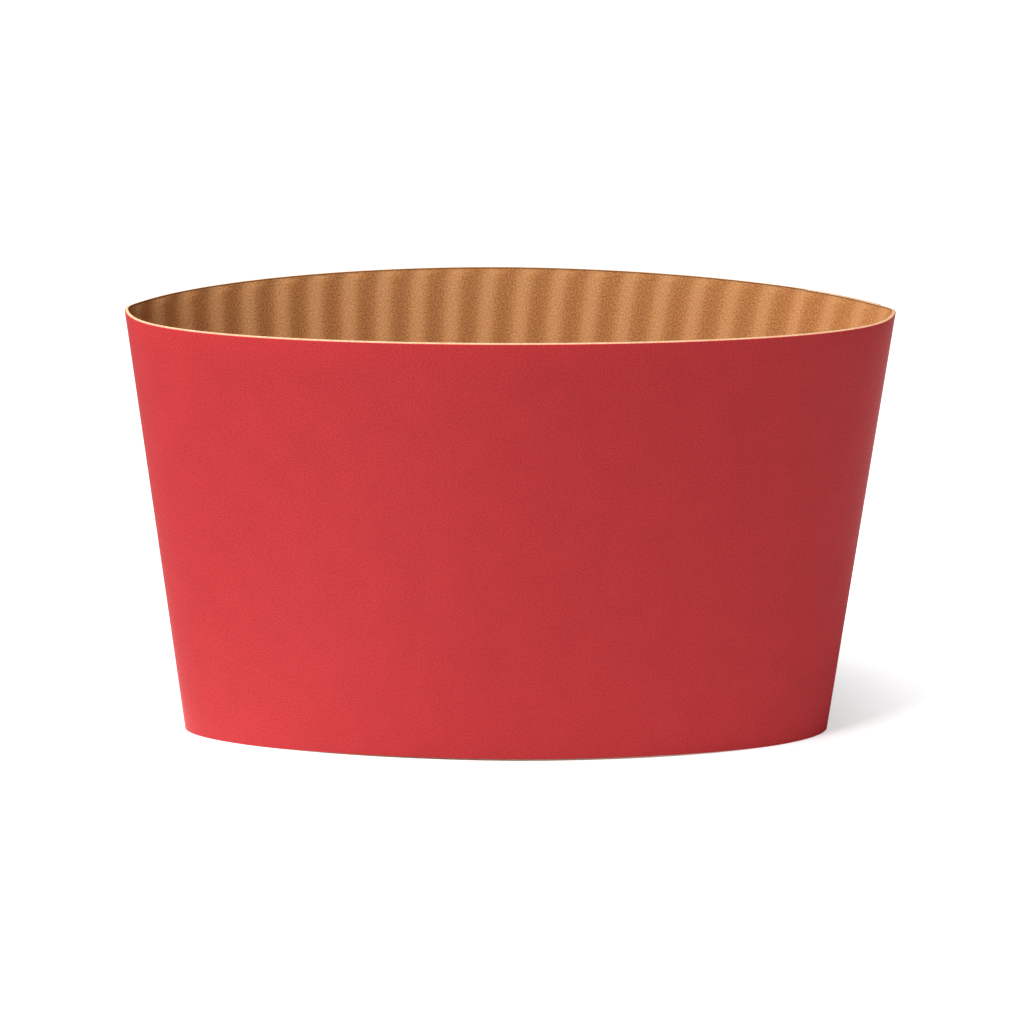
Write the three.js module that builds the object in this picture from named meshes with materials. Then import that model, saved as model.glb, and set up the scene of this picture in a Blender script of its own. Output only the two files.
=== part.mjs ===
// Coffee cup sleeve: one blank of fluted kraft board, folded flat at two creases, glued to itself
// in a lap and opened out again, so it stands on its narrow edge like a flattened, tapered ring.
// The outer face is smooth and printed, the inner face shows the flutes, and the cut edges are raw.
//
// Millimetres, +Z up. The origin is on the table, under the middle of the sleeve.
// X runs from the left fold to the right fold. The plain panel faces -Y, the glued lap is at +Y.

import * as THREE from 'three';
import { toCreasedNormals } from 'three/addons/utils/BufferGeometryUtils.js';

// The wide rim, over the outer face
const height = 63.5; // of the rim above the table, beside the folds
const topWidth = 111.1; // fold to fold
const topDepth = 45.5; // panel to panel
const topRoundness = 1.9; // 2 is an ellipse, and less draws the loop to points at the folds
const topEgg = 0.034; // share by which the left half is deeper, and the right half less deep
const topRise = 1.2; // of the rim from the folds to the middle of a panel
const foldPeak = 0.41; // tip of the blank that stands up at each fold
const foldPeakSpread = 4.2;

// The narrow edge, over the outer face
const bottomWidth = 95.1;
const bottomDepth = 28.9;
const bottomRoundness = 1.83;
const bottomEgg = - 0.069; // opened out by hand, the loop is fatter on the right at its foot
const bottomRise = 0.28; // gap under the middle of a panel
const footDepth = 14; // front to back, of the stretch at each fold that bears on the table

// The board and its flutes
const boardThickness = 0.75; // at the crest of a flute
const fluteDepth = 0.3; // crest to trough, on the inner face only
const flutePitch = 5.265; // crest to crest along the rim
const firstCrest = 4.81; // along the rim, from the left fold to the middle of a flute
const fluteLean = 4.6; // how far a flute drifts along the narrow edge, over the sleeve's height
const creaseSpread = 1.5; // along the rim, beside each fold, where the crease crushes the flutes

// The glued lap, measured along the rim from the right fold
const flapLength = 18; // of the front panel's end, which is folded round behind the back panel
const lapWidth = 13; // over which the back panel's own end lies glued over that flap
const cutRun = 0.05; // how far a cut end runs along the board from face to face

// Facets
const stepsPerFlute = 8;
const leastStep = 0.4; // share of an even step that is kept clear beside each cut end
const rows = [0, 1 / 3, 2 / 3, 1]; // shares of the height at which each face has its points
const edgeSamples = 2400;
const creaseAngle = Math.PI / 5;

const raise = (value, power) => Math.sign(value) * Math.abs(value) ** power;

// A long edge of the blank. Seen from above it is a superellipse, which starts at the left fold
// and passes the back, the right fold and the front.
class SleeveEdge extends THREE.Curve {

	constructor(width, depth, roundness, egg, heightAt) {

		super();
		this.halfWidth = width / 2;
		this.halfDepth = depth / 2;
		this.roundness = roundness;
		this.egg = egg;
		this.heightAt = heightAt;
		this.arcLengthDivisions = edgeSamples;

	}

	getPoint(t, target = new THREE.Vector3()) {

		const angle = 2 * Math.PI * t;
		const across = - raise(Math.cos(angle), 2 / this.roundness);
		const fatness = 1 - this.egg * across;
		const x = this.halfWidth * across;
		const y = this.halfDepth * raise(Math.sin(angle), 2 / this.roundness) * fatness;
		return target.set(x, y, this.heightAt(y));

	}

	// The level direction that points straight out of the loop
	outwardAt(share) {

		const along = this.getTangentAt(share);
		return new THREE.Vector3(- along.y, along.x, 0).normalize();

	}

}

function topHeight(y) {

	const middle = (y / (topDepth / 2)) ** 2;
	const fold = Math.exp(- ((y / foldPeakSpread) ** 2));
	return height + topRise * middle + foldPeak * fold;

}

function bottomHeight(y) {

	return bottomRise * THREE.MathUtils.smoothstep(Math.abs(y), footDepth / 2, bottomDepth / 2);

}

const topEdge = new SleeveEdge(topWidth, topDepth, topRoundness, topEgg, topHeight);
const bottomEdge = new SleeveEdge(
	bottomWidth, bottomDepth, bottomRoundness, bottomEgg, bottomHeight,
);
const rimLength = topEdge.getLength();
const leanShare = fluteLean / bottomEdge.getLength();

// The two cut ends of the blank, as shares of the rim's length
const rightFold = 1 / 2;
const flapEnd = rightFold - flapLength / rimLength;
const panelEnd = rightFold - (flapLength - lapWidth) / rimLength;
const cutShare = cutRun / rimLength;

// The back panel's flutes are crushed in the lap, so it is as thick there as the board is on average.
const panelThickness = boardThickness - fluteDepth / 2;

// Flutes reach their full depth away from the folds. The left fold is at the shares 0 and 1.
function boardAt(share) {

	const fromFold = rimLength * Math.min(share, Math.abs(share - rightFold), 1 - share);
	const crushed = Math.exp(- ((fromFold / creaseSpread) ** 2));
	const along = rimLength * share - firstCrest;
	const trough = (1 - Math.cos(2 * Math.PI * along / flutePitch)) / 2;
	return boardThickness - fluteDepth * THREE.MathUtils.lerp(trough, 1, crushed);

}

// How deep the outer and the inner face lie behind the smooth outline. From the right fold on, the
// flap sinks behind the outline, and the back panel's end covers it at its full thickness.
function facesAt(share) {

	const onBack = share <= rightFold;
	const sunk = onBack ? panelThickness * (1 - THREE.MathUtils.smoothstep(share, panelEnd, rightFold)) : 0;
	const outer = share > panelEnd ? sunk : 0;
	const layerStart = share > flapEnd ? sunk : 0;
	return { outer, inner: layerStart + boardAt(share) };

}

// A point of the board: share is its place along the rim, rise its share of the height,
// and depth how far it lies behind the outline, square to the board.
function wallPoint(share, rise, depth) {

	const place = THREE.MathUtils.euclideanModulo(share - leanShare * (1 - rise), 1);
	const low = bottomEdge.getPointAt(place);
	const high = topEdge.getPointAt(place);
	const outward = bottomEdge.outwardAt(place).lerp(topEdge.outwardAt(place), rise).normalize();
	const ruling = high.clone().sub(low);

	// The rim is cut square to the leaning board, and the narrow edge bears level on the table.
	outward.z = - rise * outward.dot(ruling) / ruling.z;
	return low.lerp(high, rise).addScaledVector(outward.normalize(), - depth);

}

// Places of the columns along the rim: even steps, and a close pair at each cut end of the blank
function columnShares() {

	const count = Math.round(stepsPerFlute * rimLength / flutePitch);
	const ends = [panelEnd, flapEnd];
	const even = Array.from({ length: count }, (_, index) => index / count);
	const apart = leastStep / count;
	const clear = even.filter((share) => ends.every((end) => Math.abs(share - end) > apart));
	const pairs = ends.flatMap((end) => [end, end + cutShare]);
	return [...clear, ...pairs].sort((a, b) => a - b);

}

// The section of the board at one column, up its outer face and down its inner face
function sectionAt(share) {

	const { outer, inner } = facesAt(share);
	const up = rows.map((rise) => wallPoint(share, rise, outer));
	const down = rows.toReversed().map((rise) => wallPoint(share, rise, inner));
	return [...up, ...down];

}

// Skins the sections one after another round the loop, and closes the last on to the first.
function skin(sections) {

	const size = sections[0].length;
	const indices = [];
	sections.forEach((_, column) => {

		const here = column * size;
		const next = (column + 1) % sections.length * size;
		for (let i = 0; i < size; i ++) {

			const j = (i + 1) % size;
			indices.push(here + i, here + j, next + j);
			indices.push(here + i, next + j, next + i);

		}

	});

	const geometry = new THREE.BufferGeometry().setFromPoints(sections.flat());
	geometry.setIndex(indices);
	return toCreasedNormals(geometry, creaseAngle);

}

const printedBoard = new THREE.MeshStandardMaterial({
	color: 0xbf3e42,
	roughness: 0.8,
	metalness: 0,
});

const sleeve = new THREE.Mesh(skin(columnShares().map(sectionAt)), printedBoard);
sleeve.name = 'sleeve';

const model = new THREE.Group();
model.add(sleeve);

export default model;
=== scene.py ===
# %% [markdown]
# Coffee cup sleeve, opened out on a white table
# A hot cup sleeve is one blank of fluted board, made like this: a smooth paper liner is glued to
# a paper that has been pressed into flutes, the outside is printed, the blank is cut out with
# a steel rule, folded flat, and glued to itself in a lap. The outside stays smooth. The inside
# shows the flutes as soft ribs, and every cut edge shows bare paper.
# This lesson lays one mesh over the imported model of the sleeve, then makes three finishes for it,
# and lights it as a catalogue picture is lit. Sizes are in millimetres until points are made.

import math

import bpy
import numpy as np
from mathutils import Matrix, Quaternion, Vector


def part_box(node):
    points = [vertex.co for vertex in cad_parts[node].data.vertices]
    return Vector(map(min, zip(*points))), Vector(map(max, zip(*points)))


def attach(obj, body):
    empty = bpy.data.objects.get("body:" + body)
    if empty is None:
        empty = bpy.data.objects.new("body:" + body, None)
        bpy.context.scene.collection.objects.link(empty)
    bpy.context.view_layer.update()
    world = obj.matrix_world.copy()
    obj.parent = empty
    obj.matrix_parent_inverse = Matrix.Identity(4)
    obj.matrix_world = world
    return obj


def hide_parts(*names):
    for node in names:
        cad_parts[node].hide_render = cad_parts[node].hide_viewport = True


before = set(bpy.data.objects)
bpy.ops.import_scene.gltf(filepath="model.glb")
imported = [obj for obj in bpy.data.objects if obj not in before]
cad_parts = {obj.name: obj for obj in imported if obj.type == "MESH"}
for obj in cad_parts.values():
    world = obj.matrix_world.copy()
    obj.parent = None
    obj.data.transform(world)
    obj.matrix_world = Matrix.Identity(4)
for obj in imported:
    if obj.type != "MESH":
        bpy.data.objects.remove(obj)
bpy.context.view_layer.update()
low_corner, high_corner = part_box("sleeve")
sleeve_size = high_corner - low_corner
print("sleeve, mm:", [round(side * 1000, 2) for side in sleeve_size])

# %% [markdown]
# The two long edges
# Seen from above, the rim and the narrow edge of an opened sleeve are neither circles nor ellipses.
# Board bends where it can and resists at its two folds, so the loop is drawn to a blunt point there.
# A superellipse gives that with one number: 2 is an ellipse, and less than 2 is more pointed.
# The loop is a little egg-shaped too, fatter on one side at the rim and on the other at the foot.

# %% Shape of the two edges
MM = 0.001
RIM_WIDTH = sleeve_size.x / MM
RIM_DEPTH = 45.5
FOOT_WIDTH = 95.1
FOOT_DEPTH = 28.9
HEIGHT = 63.5
RIM_ROUNDNESS, RIM_EGG = 1.9, 0.034
FOOT_ROUNDNESS, FOOT_EGG = 1.83, -0.069
PANEL_ARCH = 1.2
FOLD_TIP, FOLD_TIP_SPREAD = 0.41, 4.2
PANEL_GAP, BEARING_REACH = 0.28, 7
EDGE_SAMPLES = 24000
TURN_STEP = 1e-4


def raise_signed(value, power):
    """A power that keeps the sign of what it is given."""
    return np.sign(value) * np.abs(value) ** power


class LongEdge:
    """One long edge of the blank, walked by shares of its own length from the left fold."""

    def __init__(self, width, depth, roundness, egg, height_at):
        self.half = np.array([width / 2, depth / 2])
        self.power = 2 / roundness
        self.egg = egg
        self.height_at = height_at
        self.turns = np.linspace(0, 1, EDGE_SAMPLES + 1)
        steps = np.linalg.norm(np.diff(self.at_turn(self.turns), axis=0), axis=1)
        self.travelled = np.concatenate([[0], np.cumsum(steps)])
        self.length = self.travelled[-1]

    def at_turn(self, turn):
        angle = 2 * np.pi * turn
        across = -raise_signed(np.cos(angle), self.power)
        x = self.half[0] * across
        y = self.half[1] * raise_signed(np.sin(angle), self.power) * (1 - self.egg * across)
        return np.stack([x, y, self.height_at(y)], axis=-1)

    def turn_of(self, share):
        return np.interp(share * self.length, self.travelled, self.turns)

    def point(self, share):
        return self.at_turn(self.turn_of(share))

    def outward(self, share):
        """Level direction square to the edge, away from the inside."""
        turn = self.turn_of(share)
        along = self.at_turn(turn + TURN_STEP) - self.at_turn(turn - TURN_STEP)
        out = np.stack([-along[:, 1], along[:, 0], np.zeros(len(along))], axis=-1)
        return out / np.linalg.norm(out, axis=1, keepdims=True)


def smoothstep(value, start, end):
    share = np.clip((value - start) / (end - start), 0, 1)
    return share * share * (3 - 2 * share)


def rim_height(y):
    """The rim arches over each panel, and a small tip of the blank stands up at each fold."""
    arch = PANEL_ARCH * (2 * y / RIM_DEPTH) ** 2
    return HEIGHT + arch + FOLD_TIP * np.exp(-(y / FOLD_TIP_SPREAD) ** 2)


def foot_height(y):
    """The narrow edge bears on the table near the folds and clears it under each panel."""
    return PANEL_GAP * smoothstep(np.abs(y), BEARING_REACH, FOOT_DEPTH / 2)


rim = LongEdge(RIM_WIDTH, RIM_DEPTH, RIM_ROUNDNESS, RIM_EGG, rim_height)
foot = LongEdge(FOOT_WIDTH, FOOT_DEPTH, FOOT_ROUNDNESS, FOOT_EGG, foot_height)
print("round the rim, mm:", round(rim.length, 2), "round the foot, mm:", round(foot.length, 2))

# %% [markdown]
# The section of the board
# Cut across, the board is a flat outer paper with a wavy paper behind it. The flutes run from the
# foot to the rim and fan out as the blank does, so they are the same share of the length at both
# edges, apart from a small lean. At each fold a blunt rule has creased the board and crushed them.
# In the lap, a short flap of the front panel is folded round the right fold and glued inside the
# back panel, whose own raw end shows outside. The flap's raw end shows inside.

# %% Flutes and lap
BOARD = 0.75
FLUTE_DEPTH = 0.3
FLUTE_PITCH = 5.265
FIRST_CREST = 4.81
FLUTE_LEAN = 4.6
CREASE_SPREAD = 1.5
RIGHT_FOLD = 0.5
FLAP_LENGTH, PANEL_SHORTFALL = 18, 5
FLAP_END = RIGHT_FOLD - FLAP_LENGTH / rim.length
PANEL_END = RIGHT_FOLD - PANEL_SHORTFALL / rim.length
CUT_RUN = 0.05 / rim.length
PANEL_THICKNESS = BOARD - FLUTE_DEPTH / 2
CUT_THICKNESS = 0.52


def flute_run(share):
    """Millimetres along the board from the crest nearest the left fold."""
    return rim.length * share - FIRST_CREST


def layers(share):
    """How deep the outer face lies behind the smooth outline, and where the inner layer starts."""
    sunk = PANEL_THICKNESS * (1 - smoothstep(share, PANEL_END, RIGHT_FOLD)) * (share <= RIGHT_FOLD)
    return np.where(share > PANEL_END, sunk, 0), np.where(share > FLAP_END, sunk, 0)


def thickness(share, flatness):
    """Thickness of the board. Flatness runs from 0, where the flutes are whole, to 1."""
    from_fold = rim.length * np.minimum(np.minimum(share, np.abs(share - RIGHT_FOLD)), 1 - share)
    crushed = np.exp(-(from_fold / CREASE_SPREAD) ** 2)
    trough = (1 - np.cos(2 * np.pi * flute_run(share) / FLUTE_PITCH)) / 2
    whole = BOARD - FLUTE_DEPTH * (trough + (1 - trough) * crushed)
    return whole * (1 - flatness) + CUT_THICKNESS * flatness


COLUMNS_PER_FLUTE = 20
LEAST_STEP = 0.4
count = round(COLUMNS_PER_FLUTE * rim.length / FLUTE_PITCH)
even = np.arange(count) / count
cut_ends = [PANEL_END, FLAP_END]
clear = np.all([np.abs(even - end) > LEAST_STEP / count for end in cut_ends], axis=0)
pairs = [share for end in cut_ends for share in (end, end + CUT_RUN)]
shares = np.sort(np.concatenate([even[clear], pairs]))
outer_depth, layer_depth = layers(shares)
print("columns round the sleeve:", len(shares))

# %% [markdown]
# From section to mesh
# A straight line joins the foot and the rim at each column, as on any sheet that is only bent.
# Points are set along it on both faces. The steel rule that cuts the blank pinches its flutes flat
# in the last millimetre and a half, leaves the corners a little soft and cuts the rim with a slight
# bevel, so each long edge is as thick all the way round and is turned with a small radius.

# %% Points of one section
WALL_ROWS = 14
OUTER_RADIUS = 0.1
INNER_RADIUS = 0.08
ROUND_STEPS = 4
BEVEL = 0.09
PINCH_ROWS = [1.4, 1.05, 0.7, 0.4, 0.2]
PINCH_REACH = 1.4
PRINTED, CUT, KRAFT = 0, 1, 2


def turned_corner(radius, face):
    """Distance from the edge and inset from the face, from the face round to the edge."""
    angles = np.linspace(0, np.pi / 2, ROUND_STEPS + 1)
    return [(radius * (1 - np.sin(a)), radius * (1 - np.cos(a)), face) for a in angles]


outer_corner = turned_corner(OUTER_RADIUS, 0)
inner_corner = turned_corner(INNER_RADIUS, 1)
wall_shares = np.linspace(0, 1, WALL_ROWS + 1)[1:-1]

section = [("foot", gap, face, inset) for gap, inset, face in reversed(outer_corner)]
section += [("wall", share, 0, 0.0) for share in wall_shares]
section += [("rim", gap + BEVEL, face, inset) for gap, inset, face in outer_corner]
section += [("rim", gap, face, inset) for gap, inset, face in reversed(inner_corner)]
section += [("rim", gap, 1, 0.0) for gap in reversed(PINCH_ROWS)]
section += [("wall", share, 1, 0.0) for share in wall_shares[::-1]]
section += [("foot", gap, 1, 0.0) for gap in PINCH_ROWS]
section += [("foot", gap, face, inset) for gap, inset, face in inner_corner]
print("points in one section:", len(section))

# %% Place every point
def board_points(shares, rise, depth):
    """Points at a share of the height and a depth in mm behind the outline, square to the board."""
    place = (shares - FLUTE_LEAN / foot.length * (1 - rise)) % 1
    low, high = foot.point(place), rim.point(place)
    out = foot.outward(place) * (1 - rise) + rim.outward(place) * rise
    out /= np.linalg.norm(out, axis=1, keepdims=True)
    ruling = high - low
    out[:, 2] = -rise * (out * ruling).sum(axis=1) / ruling[:, 2]
    out /= np.linalg.norm(out, axis=1, keepdims=True)
    return low + (high - low) * rise + out * -np.asarray(depth)[:, None]


SLANT = 64.0  # length of the wall up its slope
grid = np.zeros((len(shares), len(section), 3))
rises = np.zeros(len(section))
for row, (where, amount, face, inset) in enumerate(section):
    rise = {"foot": amount / SLANT, "rim": 1 - amount / SLANT, "wall": amount}[where]
    from_edge = SLANT * min(rise, 1 - rise)
    flatness = 1 - smoothstep(from_edge, 0, PINCH_REACH)
    inner_depth = layer_depth + thickness(shares, flatness)
    depth = inner_depth - inset if face else outer_depth + inset
    grid[:, row] = board_points(shares, rise, depth)
    rises[row] = rise
print("rim, mm above the table:", round(grid[:, :, 2].max(), 2))

# %% [markdown]
# Faces, finishes and the flat pattern
# Neighbouring sections are joined by quads. Each quad is told which finish it has: print outside,
# bare cut board on the edges and the two cut ends, kraft inside. The UV map unrolls the board:
# across it counts millimetres along the blank, and up it counts millimetres above the foot, so
# a pattern made from it follows the flutes and fans out with them.

# %% Build the mesh
SHARP_ANGLE = 40
points_per_section = len(section)


def finish_of(row):
    """Finish of the strip from this row of the section to the next one."""
    face, next_face = section[row][2], section[(row + 1) % points_per_section][2]
    if face != next_face:
        return CUT
    if face == 0:
        return PRINTED
    turned = section[row][3] + section[(row + 1) % points_per_section][3] > 0
    return CUT if turned else KRAFT


quads, finishes, uvs = [], [], []
for column, share in enumerate(shares):
    after = (column + 1) % len(shares)
    run, run_after = flute_run(share), flute_run(shares[after] if after else 1.0)
    for row in range(points_per_section):
        up = (row + 1) % points_per_section
        quads.append((column * points_per_section + row, column * points_per_section + up,
                      after * points_per_section + up, after * points_per_section + row))
        end_of_face = PANEL_END if section[row][2] == 0 else FLAP_END
        finishes.append(CUT if abs(share - end_of_face) < 1e-9 else finish_of(row))
        low_v, high_v = rises[row] * HEIGHT, rises[up] * HEIGHT
        uvs += [(run, low_v), (run, high_v), (run_after, high_v), (run_after, low_v)]

mesh = bpy.data.meshes.new("sleeve_board")
mesh.from_pydata((grid.reshape(-1, 3) * MM).tolist(), [], quads)
mesh.polygons.foreach_set("material_index", finishes)
flat_pattern = mesh.uv_layers.new(name="flat_pattern")
flat_pattern.data.foreach_set("uv", np.array(uvs, dtype=np.float32).ravel())
mesh.polygons.foreach_set("use_smooth", [True] * len(quads))
mesh.set_sharp_from_angle(angle=math.radians(SHARP_ANGLE))
mesh.update()
board = bpy.data.objects.new("sleeve_board", mesh)
bpy.context.scene.collection.objects.link(board)
print("triangles:", 2 * len(quads))

# %% [markdown]
# Colours and nodes
# Hex colours are what a screen shows. Light adds up on a linear scale, so one function turns them.
# Another small function adds a shader node, sets its values and makes its links.

# %% Helpers for finishes
def linear(hex_colour):
    """A hex colour as the screen shows it, turned to linear light."""
    channels = [int(hex_colour[i:i + 2], 16) / 255 for i in (1, 3, 5)]
    return [c / 12.92 if c <= 0.04045 else ((c + 0.055) / 1.055) ** 2.4 for c in channels] + [1.0]


def new_finish(name):
    """An empty material with a Principled shader on its surface. Returns it and its shader."""
    material = bpy.data.materials.new(name)
    material.use_nodes = True
    tree = material.node_tree
    tree.nodes.clear()
    output = tree.nodes.new("ShaderNodeOutputMaterial")
    shader = tree.nodes.new("ShaderNodeBsdfPrincipled")
    tree.links.new(shader.outputs["BSDF"], output.inputs["Surface"])
    return material, shader


def add_node(tree, kind, settings=None, inputs=None):
    """Adds a node. settings are its own choices; inputs are values, or sockets to link from."""
    node = tree.nodes.new(kind)
    for name, value in (settings or {}).items():
        setattr(node, name, value)
    for name, value in (inputs or {}).items():
        if isinstance(value, bpy.types.NodeSocket):
            tree.links.new(value, node.inputs[name])
        else:
            node.inputs[name].default_value = value
    return node


def flat_coordinates(tree, across_mm, up_mm):
    """The flat pattern, in steps of so many millimetres each way."""
    flat = add_node(tree, "ShaderNodeUVMap", {"uv_map": "flat_pattern"})
    scale = (1 / across_mm, 1 / up_mm, 1)
    stretched = add_node(tree, "ShaderNodeVectorMath", {"operation": "MULTIPLY"},
                         {0: flat.outputs["UV"], 1: scale})
    return stretched.outputs["Vector"]


print("the middle grey of a screen, in linear light:", round(linear("#808080")[0], 3))

# %% [markdown]
# The printed face
# It is a smooth liner with one flood of red ink and no varnish. Ink on uncoated paper is nearly
# matt: it takes a broad soft veil from what is pale beside it, and no highlight. It isn't quite
# even. Ink clouds a few millimetres across follow how the pulp settled, and single fibres make
# a fine tooth, which speckles the ink and catches light from the side. The flutes behind the
# liner show as a very faint washboard.

# %% Nearly matt red ink on smooth liner
CLOUD_SIZE = 6.0
TOOTH_SIZE = 0.24
TOOTH_HEIGHT = 0.045
WASHBOARD_HEIGHT = 0.002
printed, shader = new_finish("red_ink_flood_on_smooth_liner")
tree = printed.node_tree
shader.inputs["Roughness"].default_value = 0.6
shader.inputs["IOR"].default_value = 1.5
shader.inputs["Specular IOR Level"].default_value = 0.3

clouds = add_node(tree, "ShaderNodeTexNoise", {"noise_dimensions": "2D"},
                  {"Vector": flat_coordinates(tree, CLOUD_SIZE, CLOUD_SIZE), "Scale": 1.0, "Detail": 4.0})
tooth = add_node(tree, "ShaderNodeTexNoise", {"noise_dimensions": "2D"},
                 {"Vector": flat_coordinates(tree, TOOTH_SIZE, TOOTH_SIZE), "Scale": 1.0, "Detail": 2.0})
ink = add_node(tree, "ShaderNodeValToRGB", inputs={"Fac": clouds.outputs["Fac"]})
ink.color_ramp.elements[0].position = 0.3
ink.color_ramp.elements[0].color = linear("#CB3236")
ink.color_ramp.elements[1].position = 0.7
ink.color_ramp.elements[1].color = linear("#D03438")
speckle = add_node(tree, "ShaderNodeMapRange", inputs={
    "Value": tooth.outputs["Fac"], "From Min": 0.3, "From Max": 0.7, "To Min": 0.84, "To Max": 1.16})
tinted = add_node(tree, "ShaderNodeVectorMath", {"operation": "SCALE"},
                  {0: ink.outputs["Color"], "Scale": speckle.outputs["Result"]})
tree.links.new(tinted.outputs["Vector"], shader.inputs["Base Color"])

flat = add_node(tree, "ShaderNodeUVMap", {"uv_map": "flat_pattern"})
along = add_node(tree, "ShaderNodeSeparateXYZ", inputs={"Vector": flat.outputs["UV"]})
phase = add_node(tree, "ShaderNodeMath", {"operation": "MULTIPLY"},
                 {0: along.outputs["X"], 1: 2 * math.pi / FLUTE_PITCH})
washboard = add_node(tree, "ShaderNodeMath", {"operation": "COSINE"}, {0: phase.outputs["Value"]})
ribs = add_node(tree, "ShaderNodeBump", inputs={
    "Height": washboard.outputs["Value"], "Strength": 1.0, "Distance": WASHBOARD_HEIGHT * MM})
fine = add_node(tree, "ShaderNodeBump", inputs={
    "Height": tooth.outputs["Fac"], "Normal": ribs.outputs["Normal"],
    "Strength": 1.0, "Distance": TOOTH_HEIGHT * MM})
tree.links.new(fine.outputs["Normal"], shader.inputs["Normal"])
mesh.materials.append(printed)
print("printed face:", printed.name)

# %% [markdown]
# The cut edge
# A steel rule has sheared through bare pulp, so the edge is pale, matt and a little furry. Its
# fibres stand on end, and give the eye a cream line that is hardly mottled.

# %% Raw cut board
PULP_SIZE = 0.4
cut, shader = new_finish("raw_edge_of_cut_board")
tree = cut.node_tree
shader.inputs["Roughness"].default_value = 0.9
shader.inputs["IOR"].default_value = 1.5
pulp = add_node(tree, "ShaderNodeTexNoise", {"noise_dimensions": "2D"},
                {"Vector": flat_coordinates(tree, PULP_SIZE, PULP_SIZE), "Scale": 1.0, "Detail": 3.0})
edge_colour = add_node(tree, "ShaderNodeValToRGB", inputs={"Fac": pulp.outputs["Fac"]})
edge_colour.color_ramp.elements[0].position = 0.3
edge_colour.color_ramp.elements[0].color = linear("#E9B48A")
edge_colour.color_ramp.elements[1].position = 0.7
edge_colour.color_ramp.elements[1].color = linear("#F7CBA4")
tree.links.new(edge_colour.outputs["Color"], shader.inputs["Base Color"])
mesh.materials.append(cut)
print("cut edge:", cut.name)

# %% [markdown]
# The fluted face
# The inner paper is unbleached kraft, pressed into flutes and left bare. Its brown fibres lie in
# a felt, so it is the roughest of the three, with a fine grain and no shine. Each flute is painted
# a little paler on one flank beside its top. This is a painted sheen where the key lamp lights that
# flank. A thin strip just below the rim is painted darker. This is painted shade, and it draws the thin
# brown line along the rim's far side.

# %% Bare kraft paper
FELT_ACROSS, FELT_UP = 0.24, 0.28
FELT_HEIGHT = 0.05
SHEEN_SHIFT = 1.2
SHADE_LINE_START, SHADE_LINE_FULL = 0.32, 0.2
kraft, shader = new_finish("bare_kraft_paper_pressed_in_flutes")
tree = kraft.node_tree
shader.inputs["Roughness"].default_value = 0.9
shader.inputs["IOR"].default_value = 1.5
shader.inputs["Specular IOR Level"].default_value = 0.2
felt = add_node(tree, "ShaderNodeTexNoise", {"noise_dimensions": "2D"},
                {"Vector": flat_coordinates(tree, FELT_ACROSS, FELT_UP), "Scale": 1.0, "Detail": 2.0})
kraft_colour = add_node(tree, "ShaderNodeValToRGB", inputs={"Fac": felt.outputs["Fac"]})
kraft_colour.color_ramp.elements[0].position = 0.3
kraft_colour.color_ramp.elements[0].color = linear("#AE723F")
kraft_colour.color_ramp.elements[1].position = 0.7
kraft_colour.color_ramp.elements[1].color = linear("#DA9A61")
flat = add_node(tree, "ShaderNodeUVMap", {"uv_map": "flat_pattern"})
place = add_node(tree, "ShaderNodeSeparateXYZ", inputs={"Vector": flat.outputs["UV"]})
# Painted sheen: each flute is painted paler on one flank, 1.2 mm before its top. On the back wall, that
# is the flank the key lamp lights.
from_sheen = add_node(tree, "ShaderNodeMath", {"operation": "ADD"},
                    {0: place.outputs["X"], 1: SHEEN_SHIFT})
phase = add_node(tree, "ShaderNodeMath", {"operation": "MULTIPLY"},
                 {0: from_sheen.outputs["Value"], 1: 2 * math.pi / FLUTE_PITCH})
crest = add_node(tree, "ShaderNodeMath", {"operation": "COSINE"}, {0: phase.outputs["Value"]})
painted_sheen = add_node(tree, "ShaderNodeMapRange", {"interpolation_type": "SMOOTHSTEP"}, {
    "Value": crest.outputs["Value"], "From Min": -0.4, "From Max": 1.0, "To Min": 0.0, "To Max": 0.2})
sheened_colour = add_node(tree, "ShaderNodeMix", {"data_type": "RGBA"}, {
    "Factor": painted_sheen.outputs["Result"], "A": kraft_colour.outputs["Color"], "B": linear("#EFBE8C")})
# Painted shade: the inner face is painted darker toward the rim. It starts 0.32 mm below the rim and
# holds 0.4 of its colour over the top 0.2 mm.
painted_rim_shade = add_node(tree, "ShaderNodeMapRange", inputs={
    "Value": place.outputs["Y"], "From Min": HEIGHT - SHADE_LINE_START, "From Max": HEIGHT - SHADE_LINE_FULL,
    "To Min": 1.0, "To Max": 0.4})
inside_colour = add_node(tree, "ShaderNodeVectorMath", {"operation": "SCALE"}, {
    0: sheened_colour.outputs["Result"], "Scale": painted_rim_shade.outputs["Result"]})
tree.links.new(inside_colour.outputs["Vector"], shader.inputs["Base Color"])
fuzz = add_node(tree, "ShaderNodeBump", inputs={
    "Height": felt.outputs["Fac"], "Strength": 1.0, "Distance": FELT_HEIGHT * MM})
tree.links.new(fuzz.outputs["Normal"], shader.inputs["Normal"])
mesh.materials.append(kraft)
print("fluted face:", kraft.name)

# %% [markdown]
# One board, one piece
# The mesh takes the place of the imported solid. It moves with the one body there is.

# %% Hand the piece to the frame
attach(board, "root")
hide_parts("sleeve")
print("piece:", board.name, "finishes:", len(mesh.materials))

# %% [markdown]
# The table
# Catalogue pictures have no horizon: the table is pure white, and only the contact shadow is left.
# The floor is a plain matt white. What the camera sees of it gets an extra glow, which doesn't
# light the sleeve. The glow is weaker near the sleeve, where it leaves the shadow, and there is
# none beneath it, so the gap under the front panel stays dark. Its mesh is three rings of points:
# inside the foot, under the foot's outline and far away.

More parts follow.
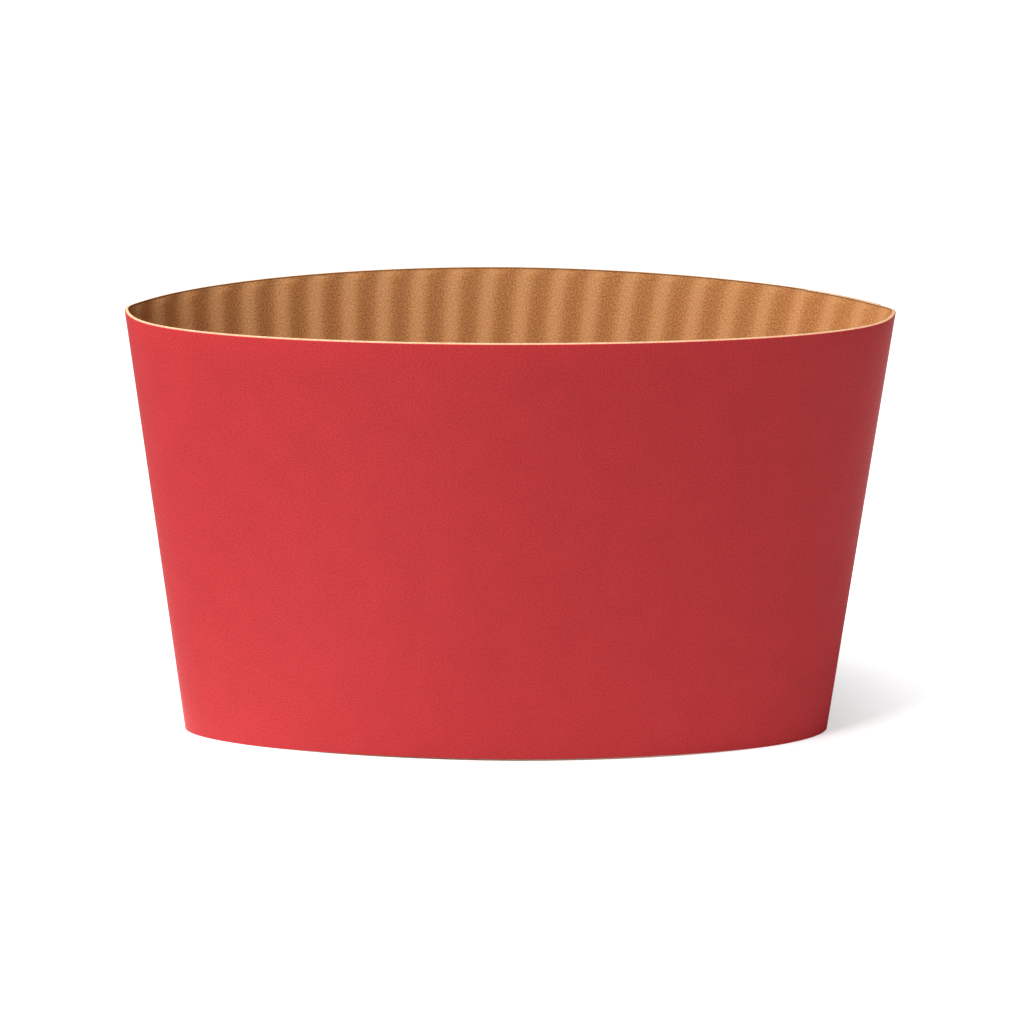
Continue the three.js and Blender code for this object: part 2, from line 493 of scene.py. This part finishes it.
# %% Mesh of the floor, distances in metres
FLOOR_REACH = 3.0
UNDER_SHARE = 0.97
OUTLINE_STRIDE = 10
outline = foot.point(shares[::OUTLINE_STRIDE])[:, :2] * MM
away = outline / np.linalg.norm(outline, axis=1, keepdims=True)
rings = [outline * UNDER_SHARE, outline, away * FLOOR_REACH]
around = len(outline)
floor_points = [(x, y, 0.0) for ring in rings for x, y in ring.tolist()]
floor_faces = [list(range(around))[::-1]]
for ring in (0, around):
    for column in range(around):
        after = (column + 1) % around
        floor_faces.append((ring + column, ring + after, ring + around + after, ring + around + column))
floor_mesh = bpy.data.meshes.new("floor")
floor_mesh.from_pydata(floor_points, [], floor_faces)
in_the_open = floor_mesh.attributes.new("in_the_open", "FLOAT", "POINT")
in_the_open.data.foreach_set("value", [0.0] * around + [1.0] * (2 * around))
floor = bpy.data.objects.new("floor", floor_mesh)
bpy.context.scene.collection.objects.link(floor)
print("faces of the floor:", len(floor_faces))

# %% [markdown]
# Cards on the table
# A photographer lays white cards beside a matt red object, because their reflection lifts it. Here
# only glossy rays see them, as brighter stretches of the table: a wide one at the left, which lays
# the pale veil on the left of the ink, and a weak one at the far right, for the edge of the fold.

# %% Matt white table and its glow
NEAR_GLOW, FAR_GLOW = 0.53, 1.0
NEAR_REACH, FAR_REACH = 0.046, 0.07
NEAR_TONE, FAR_TONE = 0.78, 0.4
NEAR_TONE_REACH, FAR_TONE_REACH = 0.07, 0.25
CARD_GLOW, CARD_SPAN = 3.0, 0.1
CARD_TONES = [(0.0, 0.1), (0.12, 0.3), (0.3, 1.0), (0.45, 0.0), (0.92, 0.0), (1.0, 0.4)]
white, shader = new_finish("matt_white_table")
white.cycles.emission_sampling = "NONE"
tree = white.node_tree
shader.inputs["Roughness"].default_value = 0.95
path = add_node(tree, "ShaderNodeLightPath")
place = add_node(tree, "ShaderNodeNewGeometry")
from_middle = add_node(tree, "ShaderNodeVectorMath", {"operation": "LENGTH"},
                       {0: place.outputs["Position"]})
spread = add_node(tree, "ShaderNodeMapRange", inputs={
    "Value": from_middle.outputs["Value"], "From Min": NEAR_REACH, "From Max": FAR_REACH,
    "To Min": NEAR_GLOW, "To Max": FAR_GLOW})
paleness = add_node(tree, "ShaderNodeMapRange", inputs={
    "Value": from_middle.outputs["Value"], "From Min": NEAR_TONE_REACH, "From Max": FAR_TONE_REACH,
    "To Min": NEAR_TONE, "To Max": FAR_TONE})
tree.links.new(paleness.outputs["Result"], shader.inputs["Base Color"])
in_open = add_node(tree, "ShaderNodeAttribute", {"attribute_name": "in_the_open"})
seen_in_open = add_node(tree, "ShaderNodeMath", {"operation": "MULTIPLY"},
                        {0: path.outputs["Is Camera Ray"], 1: in_open.outputs["Fac"]})
camera_glow = add_node(tree, "ShaderNodeMath", {"operation": "MULTIPLY"},
                       {0: seen_in_open.outputs["Value"], 1: spread.outputs["Result"]})
across = add_node(tree, "ShaderNodeSeparateXYZ", inputs={"Vector": place.outputs["Position"]})
left_to_right = add_node(tree, "ShaderNodeMapRange", inputs={
    "Value": across.outputs["X"], "From Min": -CARD_SPAN, "From Max": CARD_SPAN})
cards = add_node(tree, "ShaderNodeValToRGB", inputs={"Fac": left_to_right.outputs["Result"]})
stops = cards.color_ramp.elements
while len(stops) < len(CARD_TONES):
    stops.new(0.5)
for stop, (position, tone) in zip(stops, CARD_TONES):
    stop.position = position
    stop.color = (tone, tone, tone, 1)
card_level = add_node(tree, "ShaderNodeMath", {"operation": "MULTIPLY"},
                      {0: cards.outputs["Color"], 1: CARD_GLOW})
card_glow = add_node(tree, "ShaderNodeMath", {"operation": "MULTIPLY"},
                     {0: card_level.outputs["Value"], 1: path.outputs["Is Glossy Ray"]})
glow_level = add_node(tree, "ShaderNodeMath", {"operation": "ADD"},
                      {0: camera_glow.outputs["Value"], 1: card_glow.outputs["Value"]})
tree.links.new(glow_level.outputs["Value"], shader.inputs["Emission Strength"])
shader.inputs["Emission Color"].default_value = (1, 1, 1, 1)
floor_mesh.materials.append(white)
print("table:", white.name)

# %% [markdown]
# Light
# One large soft lamp stands at the left, in front and above. It brightens the left of the front
# panel and, through the open mouth, the right of the inside. A weak one, low at the right, keeps
# the right of the panel from going dull, and a dim even sky fills the shadows.

# %% Softboxes and sky
AIM = Vector((0, 0, 0.032))
SKY_LEVEL = 0.048


def direction(azimuth, elevation):
    """Unit vector from the object to a viewer or lamp; azimuth 0 is in front, positive to the right."""
    a, e = math.radians(azimuth), math.radians(elevation)
    return Vector((math.sin(a) * math.cos(e), -math.cos(a) * math.cos(e), math.sin(e)))


def softbox(name, azimuth, elevation, distance, side, watts):
    """A square lamp that faces the sleeve."""
    data = bpy.data.lights.new(name, "AREA")
    data.shape = "SQUARE"
    data.size = side
    data.energy = watts
    lamp = bpy.data.objects.new(name, data)
    bpy.context.scene.collection.objects.link(lamp)
    towards = direction(azimuth, elevation)
    lamp.location = AIM + towards * distance
    lamp.rotation_mode = "QUATERNION"
    lamp.rotation_quaternion = towards.to_track_quat("Z", "Y")
    print(name, "at, m:", [round(coordinate, 3) for coordinate in lamp.location])


softbox("key_softbox", azimuth=-58, elevation=55, distance=0.5, side=0.28, watts=3.6)
softbox("right_fill", azimuth=55, elevation=12, distance=0.6, side=0.3, watts=0.58)

world = bpy.data.worlds.new("studio")
world.use_nodes = True
bpy.context.scene.world = world
tree = world.node_tree
tree.nodes.clear()
path = add_node(tree, "ShaderNodeLightPath")
seen = add_node(tree, "ShaderNodeMath", {"operation": "MAXIMUM"},
                {0: path.outputs["Is Camera Ray"], 1: path.outputs["Is Transmission Ray"]})
level = add_node(tree, "ShaderNodeMapRange", inputs={
    "Value": seen.outputs["Value"], "To Min": SKY_LEVEL, "To Max": 1.0})
sky = add_node(tree, "ShaderNodeBackground", inputs={
    "Color": (1, 1, 1, 1), "Strength": level.outputs["Result"]})
add_node(tree, "ShaderNodeOutputWorld", inputs={"Surface": sky.outputs["Background"]})

# %% [markdown]
# Camera
# The photograph was taken from a little above with a long lens, as products usually are. The
# distance, angles and focal length come from fitting the outlines of the rim and the foot.

# %% Camera
CAMERA_DISTANCE = 0.650
YAW = 1.986
ELEVATION = 16.889
ROLL = 0.623
SENSOR = 36.0
PIXELS_PER_MM = 6.85
FOCAL_PIXELS = PIXELS_PER_MM * CAMERA_DISTANCE / MM
IMAGE_PIXELS = 1024
target_across, target_up = 0.429 * MM, 33.424 * MM
turn = math.radians(YAW)
target = Vector((target_across * math.cos(turn), -target_across * math.sin(turn), target_up))
back = direction(-YAW, ELEVATION)
camera_data = bpy.data.cameras.new("camera")
camera_data.sensor_width = SENSOR
camera_data.lens = SENSOR * FOCAL_PIXELS / IMAGE_PIXELS
camera_data.clip_start = 0.01
camera = bpy.data.objects.new("camera", camera_data)
bpy.context.scene.collection.objects.link(camera)
camera.location = target + back * CAMERA_DISTANCE
camera.rotation_mode = "QUATERNION"
camera.rotation_quaternion = back.to_track_quat("Z", "Y") @ Quaternion((0, 0, 1), math.radians(ROLL))
bpy.context.scene.camera = camera
bpy.context.scene.view_settings.view_transform = "Standard"
print("lens, mm:", round(camera_data.lens, 1))
